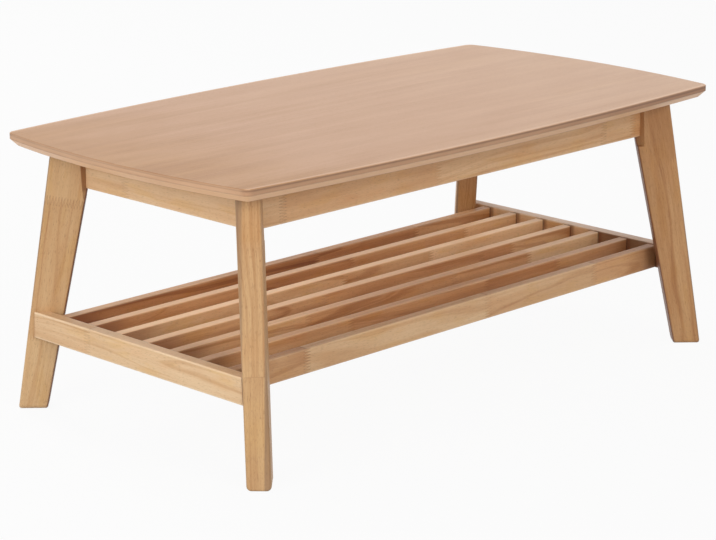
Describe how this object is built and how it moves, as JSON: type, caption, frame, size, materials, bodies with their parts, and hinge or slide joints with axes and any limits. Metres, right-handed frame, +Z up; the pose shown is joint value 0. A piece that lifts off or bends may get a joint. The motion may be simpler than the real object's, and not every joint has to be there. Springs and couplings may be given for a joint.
{
  "type": "coffee table",
  "caption": "Low wooden coffee table with a bowed, bevelled veneered top on splayed board legs, a frame of aprons and a slatted lower shelf between two end rails.",
  "frame": {"origin": "on the floor at the middle of the table's footprint", "axes": "+X along the table's length, +Y along its width towards the back, +Z up"},
  "size_m": [1.12, 0.59, 0.45],
  "materials": {
    "top_veneer": "satin lacquered veneer",
    "top_core": "stained and lacquered edge",
    "backing_veneer": "plain sealed veneer",
    "apron_wood": "satin lacquer",
    "leg_wood": "satin lacquer",
    "shelf_wood": "satin lacquer",
    "block_wood": "unfinished sawn wood",
    "dowel_wood": "unfinished beech",
    "zinc_steel": "zinc plated"
  },
  "bodies": {
    "root": {"top_board": "top_core", "top_veneer": "top_veneer", "underside_veneer": "backing_veneer", "front_apron": "apron_wood", "back_apron": "apron_wood", "left_end_apron": "apron_wood", "right_end_apron": "apron_wood", "front_left_leg": "leg_wood", "front_right_leg": "leg_wood", "back_left_leg": "leg_wood", "back_right_leg": "leg_wood", "front_left_corner_block": "block_wood", "front_right_corner_block": "block_wood", "back_left_corner_block": "block_wood", "back_right_corner_block": "block_wood", "hanger_bolts": "zinc_steel", "bolt_washers": "zinc_steel", "bolt_nuts": "zinc_steel", "corner_block_screws": "zinc_steel", "top_screws": "zinc_steel", "left_shelf_rail": "shelf_wood", "right_shelf_rail": "shelf_wood", "shelf_rail_dowels": "dowel_wood", "slat_1": "shelf_wood", "slat_2": "shelf_wood", "slat_3": "shelf_wood", "slat_4": "shelf_wood", "slat_5": "shelf_wood", "slat_6": "shelf_wood", "slat_7": "shelf_wood", "slat_dowels": "dowel_wood"}
  },
  "joints": []
}
